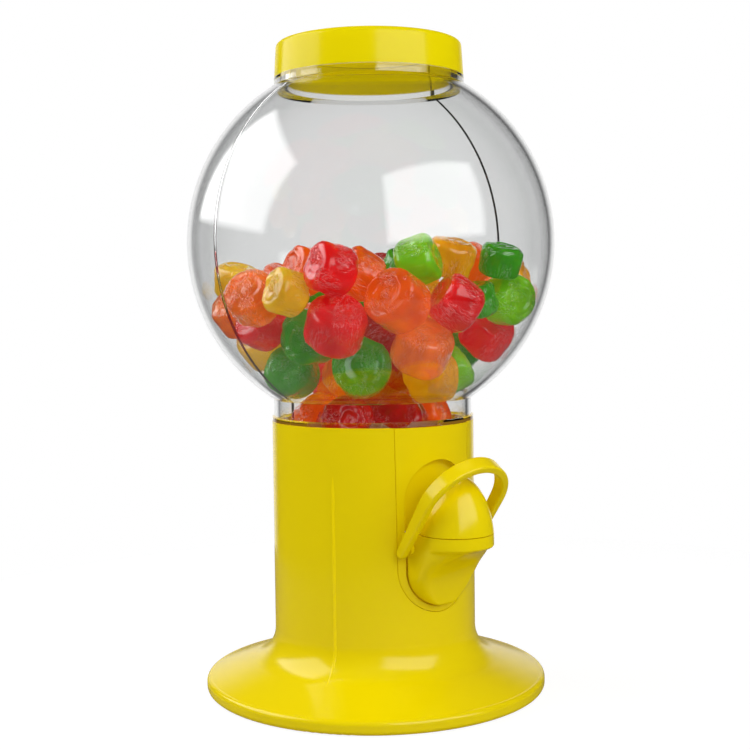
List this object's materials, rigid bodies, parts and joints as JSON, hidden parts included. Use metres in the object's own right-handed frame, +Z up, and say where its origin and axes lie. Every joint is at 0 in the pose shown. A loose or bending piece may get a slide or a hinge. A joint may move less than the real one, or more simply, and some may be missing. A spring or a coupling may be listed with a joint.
{
  "type": "gumball machine",
  "caption": "Table-top candy dispenser: clear globe of hard candies on a yellow column with a flared foot, push-on lid and a tipping spout scoop worked by a loop handle.",
  "frame": {"origin": "on the ground, under the axis of the column", "axes": "+Z up, -Y towards the spout, +X to the right hand of someone who faces the spout"},
  "size_m": [0.12, 0.12, 0.2115],
  "materials": {
    "yellow_plastic": "glossy moulded yellow plastic",
    "chute_plastic": "plain moulded white plastic",
    "clear_plastic": "clear polished plastic",
    "screw_steel": "zinc plated",
    "pin_steel": "plain steel",
    "foot_rubber": "soft pad",
    "candy_red": "glossy boiled sugar, red",
    "candy_cherry": "glossy boiled sugar, dark red",
    "candy_orange": "glossy boiled sugar, orange",
    "candy_peach": "glossy boiled sugar, pale orange",
    "candy_amber": "glossy boiled sugar, amber",
    "candy_lemon": "glossy boiled sugar, pale yellow",
    "candy_green": "glossy boiled sugar, green",
    "candy_lime": "glossy boiled sugar, lime"
  },
  "bodies": {
    "root": {"bottom_cover": "yellow_plastic", "candies_amber": "candy_amber", "candies_cherry": "candy_cherry", "candies_green": "candy_green", "candies_lemon": "candy_lemon", "candies_lime": "candy_lime", "candies_orange": "candy_orange", "candies_peach": "candy_peach", "candies_red": "candy_red", "chute": "chute_plastic", "cover_screws": "screw_steel", "foot_pads": "foot_rubber", "globe_front_shell": "clear_plastic", "globe_rear_shell": "clear_plastic", "pedestal": "yellow_plastic", "spout_panel": "yellow_plastic"},
    "scoop_lever": {"scoop": "yellow_plastic", "loop_handle": "yellow_plastic", "pivot_pins": "pin_steel"},
    "lid": {"lid": "yellow_plastic"}
  },
  "joints": [
    {"name": "scoop_tip", "type": "hinge", "parent": "root", "child": "scoop_lever", "pos_m": [0, -0.0335, 0.0515], "axis": [1, 0, 0], "range_deg": [0, 60], "stiffness_Nm_per_rad": 0.004, "springref_deg": -22.92},
    {"name": "lid_lift", "type": "slide", "parent": "root", "child": "lid", "axis": [0, 0, 1], "range_m": [0, 0.045]}
  ]
}
